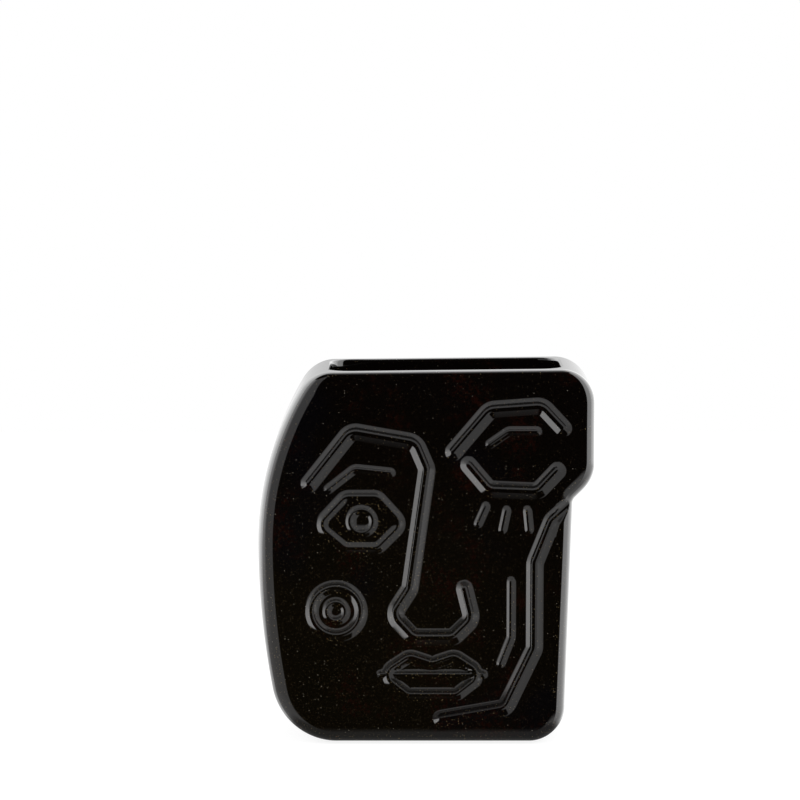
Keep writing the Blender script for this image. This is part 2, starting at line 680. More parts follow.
def inside(points, polygon):
    """Which of the points lie inside a closed line, as an array of truths."""
    x, y = np.array(points, dtype=float).reshape(-1, 2).T
    corners = np.array(polygon)
    found = np.zeros(len(x), dtype=bool)
    for (ax, ay), (bx, by) in zip(corners, np.roll(corners, -1, axis=0)):
        if ay != by:
            found ^= ((ay > y) != (by > y)) & (x < (bx - ax) * (y - ay) / (by - ay) + ax)
    return found


def plain_grid(outline, s, step=BACK_STEP):
    """A loose grid of points over the flat face, clear of its edge."""
    points = []
    rise = step * sin(pi / 3)
    for r in range(int(s.rim_height / rise)):
        z = step / 2 + r * rise
        for c in range(int(s.width / step) + 1):
            points.append((-s.width / 2 + (c + (r % 2) / 2) * step, z))
    clear = inside(points, outline.inset(outline.edges + step / 2))
    return [p for p, held in zip(points, clear) if held]


# Carved lines


def on_face(s, shares):
    """A point of the drawing, in millimetres."""
    return np.array((shares[0] * s.width / 2, shares[1] * s.rim_height))


def rounded_path(points, radius, closed):
    """The line through the points with each corner rounded, as close points."""
    path = []
    count = len(points)
    for i, p in enumerate(points):
        if not closed and i in (0, count - 1):
            path.append(p)
            continue
        before, after = unit(p - points[i - 1]), unit(points[(i + 1) % count] - p)
        centre, first, last, _ = corner_arc(p, before, after, radius)
        steps = max(LEAST_BEND_STEPS, round(abs(last - first) * radius / BEND_STEP))
        for k in range(steps + 1):
            turned = first + (last - first) * k / steps
            path.append(centre + np.array((cos(turned), sin(turned))) * radius)
    return spaced(path, closed)


def spaced(path, closed):
    """The same line with points added on its long runs."""
    result = []
    pairs = list(zip(path, path[1:] + path[:1])) if closed else list(zip(path, path[1:]))
    for a, b in pairs:
        steps = max(1, round(hypot(*(b - a)) / RUN_STEP))
        result += [a + (b - a) * k / steps for k in range(steps)]
    return result if closed else result + [path[-1]]


def ring_path(centre, radius):
    """A round line about a point."""
    steps = round(2 * pi * radius / (2 * BEND_STEP))
    spokes = [2 * pi * k / steps for k in range(steps)]
    return [centre + np.array((cos(a), sin(a))) * radius for a in spokes]


def carved_paths(s, c, outline):
    """The middle lines of the cuts, by kind, each with whether it is closed."""
    def line(shares, width, closed=False, start=()):
        points = [*start, *(on_face(s, p) for p in shares)]
        return rounded_path(points, width / 2 + c.bend, closed), closed

    iris, cheek = on_face(s, iris_shares), on_face(s, cheek_shares)
    fine = [eyelid_shares, right_lid_shares, fold_shares, mouth_line_shares, *lash_shares]
    return {
        "wide": [line(jaw_shares, c.wide_width, start=[outline.notch])]
        + [line(p, c.wide_width) for p in (brow_nose_shares, closed_lid_shares, right_brow_shares)],
        "medium": [line(p, c.medium_width, closed=True) for p in (eye_shares, lips_shares)]
        + [(ring_path(cheek, c.cheek_ring), True)],
        "fine": [line(p, c.fine_width) for p in fine] + [(ring_path(cheek, c.cheek_dot), True)],
        "iris": [(ring_path(iris, c.iris_ring), True)],
    }


class Cut:
    """One kind of cut: its section, worked out from its sizes and a skin."""

    def __init__(self, c, kind, skin, start=0.0):
        self.depth = getattr(c, kind + "_depth")
        self.lip = getattr(c, kind + "_lip") - skin
        self.floor = getattr(c, kind + "_floor") + skin
        self.start, self.flank = start, c.flank
        lip, floor = self.lip + skin, self.floor - skin
        self.reach = getattr(c, kind + "_width") / 2 + lip * LIP_SPREAD
        fall = self.depth - (lip + floor) * (1 - cos(self.flank))
        self.flank_run = fall / tan(self.flank)
        self.floor_half = self.reach - (lip + floor) * sin(self.flank) - self.flank_run

    def rows(self):
        """Distances from the middle line at which the section needs points."""
        floor_end = self.floor_half + self.floor * sin(self.flank)
        lip_start = floor_end + self.flank_run
        marks = [0.0, self.floor_half / 2]
        marks += np.linspace(self.floor_half, floor_end, FLOOR_ROWS + 1).tolist()
        marks += np.linspace(lip_start, self.reach, LIP_ROWS + 1).tolist()
        marks.append(self.reach + ROW_MARGIN)
        return [m for m, n in zip(marks, marks[1:] + [marks[-1] + 1]) if n - m > LEAST_ROW]


def carve_rows(s, c, outline, paths):
    """Points laid along the cuts, so that the mesh runs with them, and a loose grid between them."""
    kept, cells = [], {}

    def free(p, gap):
        cx, cz = int(p[0] // GRID_STEP), int(p[1] // GRID_STEP)
        for i in (-1, 0, 1):
            for k in (-1, 0, 1):
                for q in cells.get((cx + i, cz + k), ()):
                    if hypot(p[0] - q[0], p[1] - q[1]) < gap:
                        return False
        return True

    def keep(p, gap=KEEP_CLEAR):
        if free(p, gap):
            cells.setdefault((int(p[0] // GRID_STEP), int(p[1] // GRID_STEP)), []).append(p)
            kept.append((float(p[0]), float(p[1])))

    for kind, lines in paths.items():
        rows = Cut(c, "fine" if kind == "iris" else kind, 0).rows()
        for path, closed in lines:
            for i, p in enumerate(path):
                ahead = path[(i + 1) % len(path)] if closed or i + 1 < len(path) else p
                behind = path[i - 1] if closed or i else p
                way = unit(ahead - behind)
                across = np.array((-way[1], way[0]))
                for row in rows:
                    for side in ((1, -1) if row else (1,)):
                        keep(p + across * row * side)
            if not closed:
                round_end(path[0], unit(path[0] - path[1]), rows, keep)
                round_end(path[-1], unit(path[-1] - path[-2]), rows, keep)
    clear = inside(kept, outline.inset(outline.edges + KEEP_CLEAR))
    grid = [p for p in plain_grid(outline, s, FACE_STEP) if free(p, GRID_STEP)]
    return [p for p, held in zip(kept, clear) if held] + grid


def round_end(centre, way, rows, keep):
    """Points round the half circle past a cut's end."""
    across = np.array((-way[1], way[0]))
    for row in rows[1:]:
        steps = max(LEAST_END_STEPS, round(pi * row / (2 * BEND_STEP)))
        for k in range(1, steps):
            turned = pi * k / steps
            keep(centre + across * row * cos(turned) + way * row * sin(turned))


# Node trees


class Value:
    """A socket of a node tree that adds up like a number."""

    def __init__(self, tree, socket):
        self.tree, self.socket = tree, socket

    def other(self, output):
        """Another output of the same node."""
        return Value(self.tree, self.socket.node.outputs[output])

    def math(self, operation, *others):
        """What a Math node makes of the value and others."""
        return node(self.tree, "ShaderNodeMath", {"operation": operation}, [self, *others])

    def __add__(self, other):
        return self.math("ADD", other)

    __radd__ = __add__

    def __sub__(self, other):
        return self.math("SUBTRACT", other)

    def __rsub__(self, other):
        return node(self.tree, "ShaderNodeMath", {"operation": "SUBTRACT"}, [other, self])

    def __mul__(self, other):
        return self.math("MULTIPLY", other)

    __rmul__ = __mul__

    def __neg__(self):
        return self.math("MULTIPLY", -1.0)

    def __pow__(self, other):
        return self.math("POWER", other)

    def __lt__(self, other):
        return self.math("LESS_THAN", other)

    def __gt__(self, other):
        return self.math("GREATER_THAN", other)

    def root(self):
        """The square root."""
        return self.math("SQRT")

    def between(self, low, high):
        """The value held between two others."""
        return self.math("MAXIMUM", low).math("MINIMUM", high)

    def step(self, start, end):
        """A smooth rise from 0 at start to 1 at end."""
        inputs = {"Value": self, "From Min": start, "From Max": end}
        return node(self.tree, "ShaderNodeMapRange", {"interpolation_type": "SMOOTHSTEP"}, inputs, "Result")


def node(tree, kind, settings=None, inputs=(), output=0):
    """Adds a node, sets it up and gives one of its outputs. Inputs are by name or number, or in order."""
    made = tree.nodes.new(kind)
    for name, value in (settings or {}).items():
        setattr(made, name, value)
    for name, value in inputs.items() if isinstance(inputs, dict) else enumerate(inputs):
        socket = made.inputs[name]
        if isinstance(value, Value):
            tree.links.new(value.socket, socket)
        else:
            socket.default_value = value
    return Value(tree, made.outputs[output])


def put_out(kind, value):
    """Ends the value's tree with an output node of that kind."""
    value.tree.links.new(value.socket, value.tree.nodes.new(kind).inputs[0])


def separated(vector):
    """A vector's three coordinates."""
    x = node(vector.tree, "ShaderNodeSeparateXYZ", inputs=[vector])
    return x, x.other(1), x.other(2)


def blended(part, low, high):
    """The value that lies a part of the way from low to high."""
    return low + part * (high - low)


def mixed(part, a, b):
    """A blend of two colours."""
    a, b = (v if isinstance(v, Value) else (*v, 1) for v in (a, b))
    inputs = {"Factor": part, COLOUR_A: a, COLOUR_B: b}
    return node(part.tree, "ShaderNodeMix", {"data_type": "RGBA"}, inputs, COLOUR_MIX)


def carving_tree():
    """Presses the cuts into a surface. Each kind of cut follows the lines of its own object."""
    tree = bpy.data.node_groups.new("Vase carving", "GeometryNodeTree")
    face = tree.interface

    def socket(name, kind="NodeSocketFloat", way="INPUT"):
        return face.new_socket(name=name, in_out=way, socket_type=kind)

    socket("Geometry", "NodeSocketGeometry", "OUTPUT")
    socket("Geometry", "NodeSocketGeometry")
    sizes = ("Depth", "Lip", "Floor", "Floor Half", "Flank Run", "Start")
    kinds = ("Wide", "Medium", "Fine", "Iris")
    for kind in kinds:
        socket(kind + " Lines", "NodeSocketObject")
        for size in sizes:
            socket(f"{kind} {size}")
    for name in ("Flank", "Skin", "Face", "Socket", "Dome Edge", "Dome Ball", "Dome Crown"):
        socket(name)
    socket("Dome Centre", "NodeSocketVector")
    socket("Material", "NodeSocketMaterial")
    inp = node(tree, "NodeGroupInput").other
    x, y, z = separated(node(tree, "GeometryNodeInputPosition"))
    flat = node(tree, "ShaderNodeCombineXYZ", inputs={"X": x, "Y": inp("Face"), "Z": z})
    in_socket = node(tree, "GeometryNodeInputNamedAttribute", {"data_type": "FLOAT"}, {"Name": "in_socket"})
    skin, flank = inp("Skin"), inp("Flank")
    sine, cosine = flank.math("SINE"), flank.math("COSINE")
    depth = in_socket * (inp("Socket") + skin)
    for kind in kinds:
        guide = {"Object": inp(kind + " Lines")}
        near = {0: node(tree, "GeometryNodeObjectInfo", None, guide, "Geometry"), "Sample Position": flat}
        away = node(tree, "GeometryNodeProximity", {"target_element": "EDGES"}, near, "Distance")
        own = {size: inp(f"{kind} {size}") for size in sizes}
        floor_span, lip_span = own["Floor"] * sine, own["Lip"] * sine
        on_floor = (away - own["Floor Half"]).between(0.0, floor_span)
        floor_rise = own["Floor"] - (own["Floor"] ** 2 - on_floor**2).root()
        on_flank = (away - own["Floor Half"] - floor_span).between(0.0, own["Flank Run"])
        on_lip = (away - own["Floor Half"] - floor_span - own["Flank Run"]).between(0.0, lip_span)
        from_edge = lip_span - on_lip
        lip_rise = (own["Lip"] ** 2 - from_edge**2).root() - own["Lip"] * cosine
        cut = own["Depth"] + skin - floor_rise - on_flank * flank.math("TANGENT") - lip_rise
        reached = away < own["Floor Half"] + floor_span + own["Flank Run"] + lip_span
        cut = reached * (cut + own["Start"])
        depth = depth.math("MAXIMUM", cut)
    centre = node(tree, "ShaderNodeVectorMath", {"operation": "DISTANCE"}, [flat, inp("Dome Centre")], 1)
    ball = inp("Dome Ball")
    dome = inp("Dome Crown") + skin + ball - (ball**2 - (centre**2).math("MINIMUM", ball**2)).root()
    on_dome = centre < inp("Dome Edge")
    depth = depth * (1.0 - on_dome) + on_dome * depth.math("MINIMUM", dome)
    pressed = y.math("MAXIMUM", inp("Face") + depth)
    moved = (depth > skin) * (y < 0.0)
    new_y = y + moved * (pressed - y)
    target = node(tree, "ShaderNodeCombineXYZ", inputs={"X": x, "Y": new_y, "Z": z})
    solid = node(tree, "GeometryNodeSetPosition", inputs={"Geometry": inp("Geometry"), "Position": target})
    solid = node(tree, "GeometryNodeRealizeInstances", inputs=[solid])
    solid = node(tree, "GeometryNodeSetMaterial", inputs={"Geometry": solid, "Material": inp("Material")})
    put_out("NodeGroupOutput", solid)
    return tree


def line_object(name, s, lines):
    """The middle lines of one kind of cut, as edges on the vase's face."""
    verts, edges = [], []
    for path, closed in lines:
        first = len(verts)
        verts += [(p[0] * MM, -s.depth / 2 * MM, p[1] * MM) for p in path]
        count = len(path)
        edges += [(first + i, first + (i + 1) % count) for i in range(count if closed else count - 1)]
    mesh = bpy.data.meshes.new(name)
    mesh.from_pydata(verts, edges, [])
    return new_piece(name, mesh)


def carve(piece, s, c, paths, skin, material):
    """Presses the drawing into a piece and leaves it a plain mesh."""
    eye = paths["medium"][0][0]
    held = inside([(v.co.x / MM, v.co.z / MM) for v in piece.data.vertices], eye)
    attribute = piece.data.attributes.new("in_socket", "FLOAT", "POINT")
    attribute.data.foreach_set("value", held.astype(float))
    tree = carving_tree()
    modifier = piece.modifiers.new("Carving", "NODES")
    modifier.node_group = tree
    guides = []
    iris = on_face(s, iris_shares)
    edge = c.iris_ring - c.fine_width / 2 - c.iris_gap
    ball = (edge**2 + c.iris_height**2) / (2 * c.iris_height)
    values = {
        "Flank": c.flank, "Skin": skin * MM, "Face": -s.depth / 2 * MM,
        "Socket": c.socket * MM, "Dome Edge": edge * MM, "Dome Ball": (ball - skin) * MM,
        "Dome Crown": (c.socket - c.iris_height) * MM,
        "Dome Centre": (iris[0] * MM, -s.depth / 2 * MM, iris[1] * MM), "Material": material,
    }
    for kind, lines in paths.items():
        cut = Cut(c, "fine" if kind == "iris" else kind, skin, c.socket if kind == "iris" else 0)
        guide = line_object(kind + "_lines", s, lines)
        guides.append(guide)
        title = kind.capitalize()
        values.update({
            title + " Lines": guide, title + " Depth": cut.depth * MM, title + " Lip": cut.lip * MM,
            title + " Floor": cut.floor * MM, title + " Floor Half": cut.floor_half * MM,
            title + " Flank Run": cut.flank_run * MM, title + " Start": cut.start * MM,
        })
    for item in tree.interface.items_tree:
        if item.in_out == "INPUT" and item.name in values:
            modifier[item.identifier] = values[item.name]
    settle(piece)
    for guide in guides:
        bpy.data.objects.remove(guide)


def settle(piece):
    """Turns what a piece's modifiers make into its plain mesh."""
    bpy.context.view_layer.update()
    graph = bpy.context.evaluated_depsgraph_get()
    mesh = bpy.data.meshes.new_from_object(piece.evaluated_get(graph))
    piece.modifiers.clear()
    piece.data = mesh


def new_piece(name, data):
    """A new object in the scene, at the origin."""
    piece = bpy.data.objects.new(name, data)
    bpy.context.scene.collection.objects.link(piece)
    return piece


def thicken(piece, thickness):
    """Gives a coat its thickness, away from the side that shows."""
    coat = piece.modifiers.new("Coat", "SOLIDIFY")
    coat.thickness = thickness
    coat.offset = -1
    coat.use_even_offset = True
    settle(piece)


def finish_piece(piece, material, nodes):
    """Smooths a piece, gives it its finish and puts it in the place of its nodes."""
    mesh = piece.data
    mesh.materials.clear()
    mesh.materials.append(material)
    mesh.polygons.foreach_set("use_smooth", [True] * len(mesh.polygons))
    mesh.polygons.foreach_set("material_index", [0] * len(mesh.polygons))
    mesh.set_sharp_from_angle(angle=SHARP)
    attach(piece, BODY)
    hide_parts(*nodes)


# Materials

# The random patterns: their waves per metre, how many finer layers they have and how strong those are
CLOUDS = (38.0, 2.0, 0.5)
COOL_CLOUDS = (22.0, 1.0, 0.5)
GRAIN = (620.0, 3.0, 0.7)
WAVES = (34.0, 1.0, 0.5)
SKIN = (260.0, 2.0, 0.5)
MOTTLE = (70.0, 4.0, 0.5)
CLAY_GRAIN = (1900.0, 4.0, 0.5)

# Where each pattern starts to show and where it is full, in its own values from 0 to 1
CLOUD_RANGE = (0.50, 0.68)
COOL_RANGE = (0.56, 0.70)
GRAIN_RANGE = (0.46, 0.66)
COPPER_RANGE = (0.55, 0.75)
GOLD_RANGE = (0.3, 0.8)
MOTTLE_RANGE = (0.3, 0.7)

# A fleck's least radius and how much chance adds, as shares of the usual one, and where its edge starts
FLECK_LEAST = 0.5
FLECK_CHANCE = 0.6
FLECK_CORE = 0.6

# The gloss: its roughness, what grain and flecks add to it, how it bends light and how its surface waves
GLAZE_ROUGHNESS = 0.035
GRAIN_ROUGHNESS = 0.03
FLECK_ROUGHNESS = 0.2
GLAZE_IOR = 1.5
WAVE_STRENGTH = 0.35
WAVE_HEIGHT = 0.0006
WAVE_PART = 0.9
SKIN_PART = 0.02

# The bare clay: its roughness and what its grain adds, and the relief of that grain
CLAY_ROUGHNESS = 0.72
CLAY_GRAIN_ROUGHNESS = 0.2
CLAY_RELIEF = 0.5
CLAY_GRAIN_HEIGHT = 0.0002


def new_tree(data):
    """The emptied node tree of a new material or world."""
    data.use_nodes = True
    data.node_tree.nodes.clear()
    return data.node_tree


def noise(place, scale, detail, rough):
    """A soft random pattern."""
    inputs = {"Vector": place, "Scale": scale, "Detail": detail, "Roughness": rough}
    return node(place.tree, "ShaderNodeTexNoise", inputs=inputs)


def flecks(place, cell, size, part):
    """Round flecks, in a part of all cells: how much a point is in one, and each fleck's chance value."""
    inputs = {"Scale": 1 / cell, "Vector": place}
    away = node(place.tree, "ShaderNodeTexVoronoi", inputs=inputs, output="Distance")
    chance = node(place.tree, "ShaderNodeSeparateColor", inputs=[away.other("Color")])
    reach = (chance.other(2) * FLECK_CHANCE + FLECK_LEAST) * (size / cell)
    covered = 1.0 - away.step(reach * FLECK_CORE, reach)
    return covered * (chance < part), chance.other(1)


def glaze_material():
    """A brown-black gloss glaze with rust-coloured breaks and fine pale flecks."""
    f = bpy.context.scene.vase_finish
    material = bpy.data.materials.new("brown_black_glaze")
    place = node(new_tree(material), "ShaderNodeTexCoord", output="Object")
    across, _, height = separated(place)
    grain = noise(place, *GRAIN)
    rust = noise(place, *CLOUDS).step(*CLOUD_RANGE) * grain.step(*GRAIN_RANGE)
    cool = noise(place, *COOL_CLOUDS).step(*COOL_RANGE)
    low = 1.0 - height.step(f.low_end, f.high_start)
    low = low * blended(across.step(0.0, f.right_part), 1.0, f.right_share)
    base = mixed(low, f.glaze_base, f.glaze_low)
    base = mixed(cool * f.blue_share, base, f.glaze_blue)
    base = mixed(rust, base, f.glaze_rust)
    shown = blended(low, f.fleck_share, f.low_fleck_share)
    bright, warmth = flecks(place, f.fleck_cell, f.fleck_size, shown)
    shown = blended(low, f.dust_share, f.low_dust_share)
    dust, hue = flecks(place, f.dust_cell, f.dust_size, shown)
    base = mixed(dust, base, mixed(hue.step(*GOLD_RANGE), f.fleck_dim, f.fleck_gold))
    base = mixed(bright, base, mixed(warmth.step(*COPPER_RANGE), f.fleck_pale, f.fleck_copper))
    relief = noise(place, *WAVES) * WAVE_PART + noise(place, *SKIN) * SKIN_PART
    bump = {"Strength": WAVE_STRENGTH, "Distance": WAVE_HEIGHT, "Height": relief}
    surface = {
        "Base Color": base, "IOR": GLAZE_IOR, "Normal": node(place.tree, "ShaderNodeBump", inputs=bump),
        "Roughness": GLAZE_ROUGHNESS + grain * GRAIN_ROUGHNESS + bright * FLECK_ROUGHNESS,
    }
    put_out("ShaderNodeOutputMaterial", node(place.tree, "ShaderNodeBsdfPrincipled", inputs=surface))
    return material


def clay_material():
    """Bare fired stoneware: buff, fine-grained and matt, with iron specks."""
    f = bpy.context.scene.vase_finish
    material = bpy.data.materials.new("bare_stoneware")
    place = node(new_tree(material), "ShaderNodeTexCoord", output="Object")
    specks, _ = flecks(place, f.speck_cell, f.speck_size, f.speck_share)
    base = mixed(noise(place, *MOTTLE).step(*MOTTLE_RANGE), f.clay, f.clay_shade)
    base = mixed(specks * f.speck_strength, base, f.clay_dark)
    grain = noise(place, *CLAY_GRAIN)
    bump = {"Strength": CLAY_RELIEF, "Distance": CLAY_GRAIN_HEIGHT, "Height": grain}
    surface = {
        "Base Color": base, "Roughness": CLAY_ROUGHNESS + grain * CLAY_GRAIN_ROUGHNESS,
        "Normal": node(place.tree, "ShaderNodeBump", inputs=bump),
    }
    put_out("ShaderNodeOutputMaterial", node(place.tree, "ShaderNodeBsdfPrincipled", inputs=surface))
    return material


def shared_material(name, maker):
    """The material of that name, made once."""
    return bpy.data.materials.get(name) or maker()


class VASE_OT_outer_glaze(Operator):
    """Make the coat of glaze on the outside, with the carved face"""

    bl_idname = "vase.outer_glaze"
    bl_label = "Outer glaze"

    def execute(self, context):
        s, c = shape(), carving()
        outline = Outline(s)
        paths = carved_paths(s, c, outline)
        shell = outer_surface(s, outline, 0.0, carve_rows(s, c, outline, paths))
        piece = new_piece("outer_glaze_coat", shell.mesh("outer_glaze_coat"))
        material = shared_material("brown_black_glaze", glaze_material)
        carve(piece, s, c, paths, 0.0, material)
        thicken(piece, s.glaze * MM)
        finish_piece(piece, material, ["outer_glaze"])
        return {"FINISHED"}


def inner_levels(s, notch_height, skin):
    """The heights at which the inside has a ring, from its floor to the top of its room."""
    floor = s.foot_height + s.wall - skin
    room_top = s.rim_height - s.wall
    edge = s.side_edge - s.wall + skin
    marks = [
        (floor, floor + edge, LEVELS["floor"]),
        (floor + edge, floor + s.base_left_radius, LEVELS["lower"]),
        (floor + s.base_left_radius, notch_height - s.lobe_radius / 2, LEVELS["middle"]),
        (notch_height - s.lobe_radius / 2, notch_height + s.lobe_radius, LEVELS["notch"]),
        (notch_height + s.lobe_radius, room_top - s.top_left_radius, LEVELS["lobe"]),
    ]
    heights = []
    for low, high, count in marks:
        heights += [low + (high - low) * k / count for k in range(count)]
    low, count = room_top - s.top_left_radius, LEVELS["roof"]
    heights += [low + (room_top - low) * sin(pi / 2 * k / count) for k in range(count)]
    return heights


def lip_depth(s, x):
    """How far down the mouth's inner edge is rounded: deeper towards the left end."""
    t = min(1.0, max(0.0, (x + s.width / 2 - s.mouth_left_inset) / s.curl_reach))
    return s.rim_inner + (s.curl_depth - s.rim_inner) * (1 - t * t * (3 - 2 * t))


def inner_surface(s, outline, skin):
    """The inside from its floor up over the rim's inner edge to the seam, grown by a skin into the wall."""
    shell = Shell()
    half = s.width / 2
    left, right = outline.sides(s.wall - skin)
    mouth_left = s.mouth_left_inset - half - skin
    mouth_right = half - s.mouth_right_inset + skin
    side = s.depth / 2 - s.wall + skin
    edge = s.side_edge - s.wall + skin
    floor = s.foot_height + s.wall - skin
    room_top = s.rim_height - s.wall
    rings = []
    for z in inner_levels(s, outline.notch[1], skin):
        low = float(np.interp(z, left[:, 1], left[:, 0]))
        high = float(np.interp(z, right[:, 1], right[:, 0]))
        sunk = max(0.0, edge - (z - floor))
        reach = side - edge + sqrt(edge**2 - sunk**2)
        near_top = max(0.0, (z - (room_top - edge)) / edge)
        corner = edge + (s.mouth_corner + skin - edge) * near_top
        ring = rounded_rectangle(low, high, reach, corner)
        rings.append(shell.add([(x, y, z) for x, y in ring]))
    top_x, top_z = outline.top(0.0)
    neck = rounded_rectangle(mouth_left, mouth_right, side, s.mouth_corner + skin)
    for part in NECK_SHARES:
        rings.append(shell.add([(x, y, room_top + (s.wall - lip_depth(s, x)) * part) for x, y in neck]))
    for k in range(LIP_STEPS + 1):
        turned = pi / 2 * (1 - k / LIP_STEPS)
        grow = s.rim_inner - (s.rim_inner - skin) * sin(turned)
        points = []
        for x, y in mouth_ring(s, grow):
            deep = lip_depth(s, x)
            points.append((x, y, float(np.interp(x, top_x, top_z)) - deep + (deep - skin) * cos(turned)))
        rings.append(shell.add(points))
    crest_x, crest_z = outline.top(skin)
    seam = mouth_ring(s, seam_offset(s))
    rings.append(shell.add([(x, y, float(np.interp(x, crest_x, crest_z))) for x, y in seam]))
    for lower, upper in zip(rings, rings[1:]):
        shell.bridge(lower, upper)
    shell.fill([rings[0]], lambda p: p[:2], lambda x, y: (x, y, floor))
    return shell


class VASE_OT_liner_glaze(Operator):
    """Make the coat of glaze on the inside"""

    bl_idname = "vase.liner_glaze"
    bl_label = "Liner glaze"

    def execute(self, context):
        s = shape()
        shell = inner_surface(s, Outline(s), 0.0)
        piece = new_piece("liner_glaze_coat", shell.mesh("liner_glaze_coat", outward=False))
        material = shared_material("brown_black_glaze", glaze_material)
        thicken(piece, s.glaze * MM)
        finish_piece(piece, material, ["liner_glaze"])
        return {"FINISHED"}


def foot_surface(s, skin):
    """The bare foot, from the clay's base down round its ring and up to the ground inside it."""
    shell = Shell()
    top, r = s.foot_height + skin, s.foot_round
    rings = [shell.add([(x, y, top) for x, y in foot_ring(s, 0)])]
    turns = [pi / 2 * k / FOOT_STEPS for k in range(FOOT_STEPS + 1)]
    outer = [(-r + r * cos(a), r - r * sin(a)) for a in turns]
    inner = [(-s.foot_width + r - r * sin(a), r - r * cos(a)) for a in turns]
    for grow, z in outer + inner + [(-s.foot_width, s.foot_height)]:
        rings.append(shell.add([(x, y, z) for x, y in foot_ring(s, grow)]))
    for lower, upper in zip(rings, rings[1:]):
        shell.bridge(lower, upper)
    shell.fill([rings[-1]], lambda p: p[:2], lambda x, y: (x, y, s.foot_height))
    return shell


def half_of(mesh, name, side):
    """One half of a closed mesh, cut on the mid plane and closed there."""
    bm = bmesh.new()
    bm.from_mesh(mesh)
    geometry = bm.verts[:] + bm.edges[:] + bm.faces[:]
    cut = bmesh.ops.bisect_plane(
        bm, geom=geometry, dist=CUT_TOLERANCE * MM, plane_co=(0, 0, 0), plane_no=(0, side, 0),
        clear_outer=True,
    )
    edges = [e for e in cut["geom_cut"] if isinstance(e, bmesh.types.BMEdge)]
    bmesh.ops.triangle_fill(bm, use_beauty=True, edges=edges)
    bmesh.ops.recalc_face_normals(bm, faces=bm.faces)
    result = bpy.data.meshes.new(name)
    bm.to_mesh(result)
    bm.free()
    return result


class VASE_OT_clay(Operator):
    """Make the fired clay under the glaze, its front and its back half"""

    bl_idname = "vase.clay"
    bl_label = "Clay"

    def execute(self, context):
        s, c = shape(), carving()
        outline = Outline(s)
        paths = carved_paths(s, c, outline)
        skin = s.glaze
        outer = outer_surface(s, outline, skin, carve_rows(s, c, outline, paths))
        piece = new_piece("clay", outer.mesh("clay"))
        material = shared_material("bare_stoneware", clay_material)
        carve(piece, s, c, paths, skin, material)
        inner = inner_surface(s, outline, skin)
        foot = foot_surface(s, skin)
        bm = bmesh.new()
        for mesh in (piece.data, inner.mesh("inner"), foot.mesh("foot")):
            bm.from_mesh(mesh)
        bmesh.ops.remove_doubles(bm, verts=bm.verts, dist=MERGE * MM)
        bmesh.ops.recalc_face_normals(bm, faces=bm.faces)
        whole = bpy.data.meshes.new("clay_whole")
        bm.to_mesh(whole)
        bm.free()
        bpy.data.objects.remove(piece)
        for name, side in (("front_half", 1), ("back_half", -1)):
            half = new_piece("clay_" + name, half_of(whole, "clay_" + name, side))
            finish_piece(half, material, [name])
        return {"FINISHED"}


# Studio


def studio_world(st):
    """White to the camera. Gloss sees a bright room behind and above, panels aside and the dark in front."""
    world = bpy.data.worlds.new("Studio")
    way = node(new_tree(world), "ShaderNodeTexCoord", output="Generated")
    x, y, z = separated(way)
    turn = (-y).math("ARCCOSINE")
    aside = x.math("ABSOLUTE").math("ARCTAN2", -y)
    rise = z.math("ARCSINE")

    def beyond(value, start):
        return value.step(start, start + st.panel_softness)

    leftward = x.step(st.left_blend, -st.left_blend)
    high = rise.step(st.low_full, st.low_start)
    fade = turn.step(blended(leftward, st.back_fade, st.left_fade), pi)
    back_start = blended(leftward * (1.0 - high), st.back_start, st.left_low_start)
    back_light = blended(fade, st.back_level, st.backdrop_level) * blended(high, st.low_share, 1.0)
    left_light = blended(aside.step(st.side_rise, st.side_full) * high, st.left_level, st.left_full)
    right_light = blended(rise.step(st.right_foot, 0.0), st.right_low, st.right_level)
    left = (x < 0.0) * beyond(aside, st.left_start) * (1.0 - beyond(rise, st.left_top)) * (1.0 - fade)
    right = (x > 0.0) * beyond(aside, st.right_start) * (1.0 - beyond(rise, st.right_top)) * (1.0 - fade)
    room_light = beyond(turn, back_start) * back_light
    for light in (
        left * left_light,
        right * right_light,
        rise.step(st.above_start, st.above_full) * st.above_level,
        (1.0 - rise.step(st.floor_full, st.floor_start)) * st.floor_level,
    ):
        room_light = room_light.math("MAXIMUM", light)
    seen = node(way.tree, "ShaderNodeLightPath", output="Is Camera Ray")
    gloss = seen.other("Is Glossy Ray").math("MAXIMUM", seen.other("Is Transmission Ray"))
    strength = blended(gloss, blended(seen, st.ambient, 1.0), room_light)
    room = node(way.tree, "ShaderNodeBackground", inputs={"Color": grey(1), "Strength": strength})
    put_out("ShaderNodeOutputWorld", room)
    return world


def grey(shade):
    """A grey as a socket takes it, where 1 is white."""
    return (shade, shade, shade, 1)


